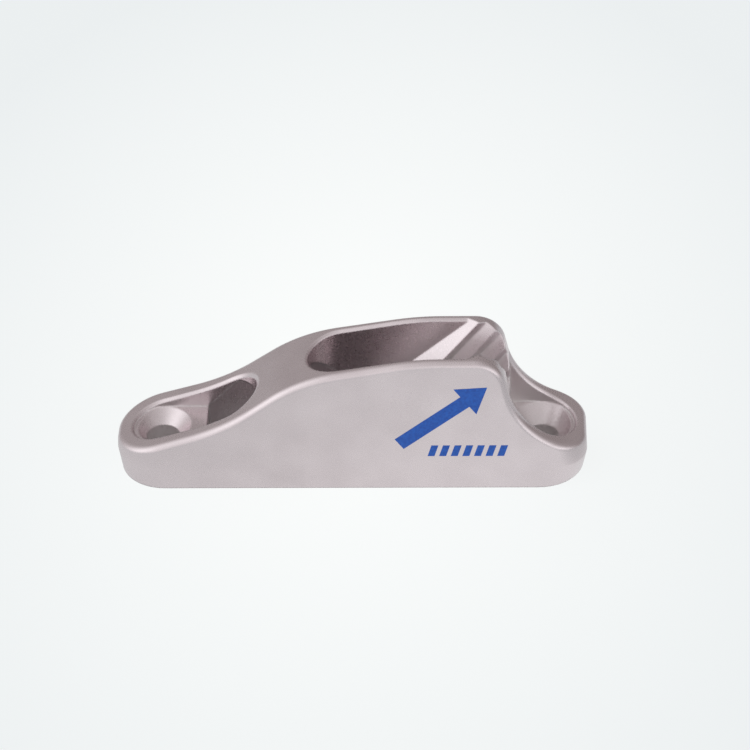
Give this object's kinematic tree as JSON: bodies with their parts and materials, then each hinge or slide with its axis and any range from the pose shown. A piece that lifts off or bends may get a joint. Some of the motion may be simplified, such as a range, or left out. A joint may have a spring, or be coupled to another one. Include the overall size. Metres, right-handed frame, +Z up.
{
  "type": "jam cleat",
  "caption": "Jam cleat cast in one piece: a fairlead bridge and open channel lead a line into a vee with slanting teeth; countersunk lugs fix it to a deck.",
  "frame": {"origin": "on the deck, under the middle of the casting's bounding box", "axes": "+Z up from the deck, +X from the fairlead lug to the lug behind the vee, +Y across the cleat, which is mirror symmetric about Y = 0"},
  "size_m": [0.082, 0.0172, 0.0259],
  "materials": {
    "cast_aluminium": "tumbled casting, satin, with brighter rounded rims"
  },
  "bodies": {
    "root": {"cleat_body": "cast_aluminium"}
  },
  "joints": []
}
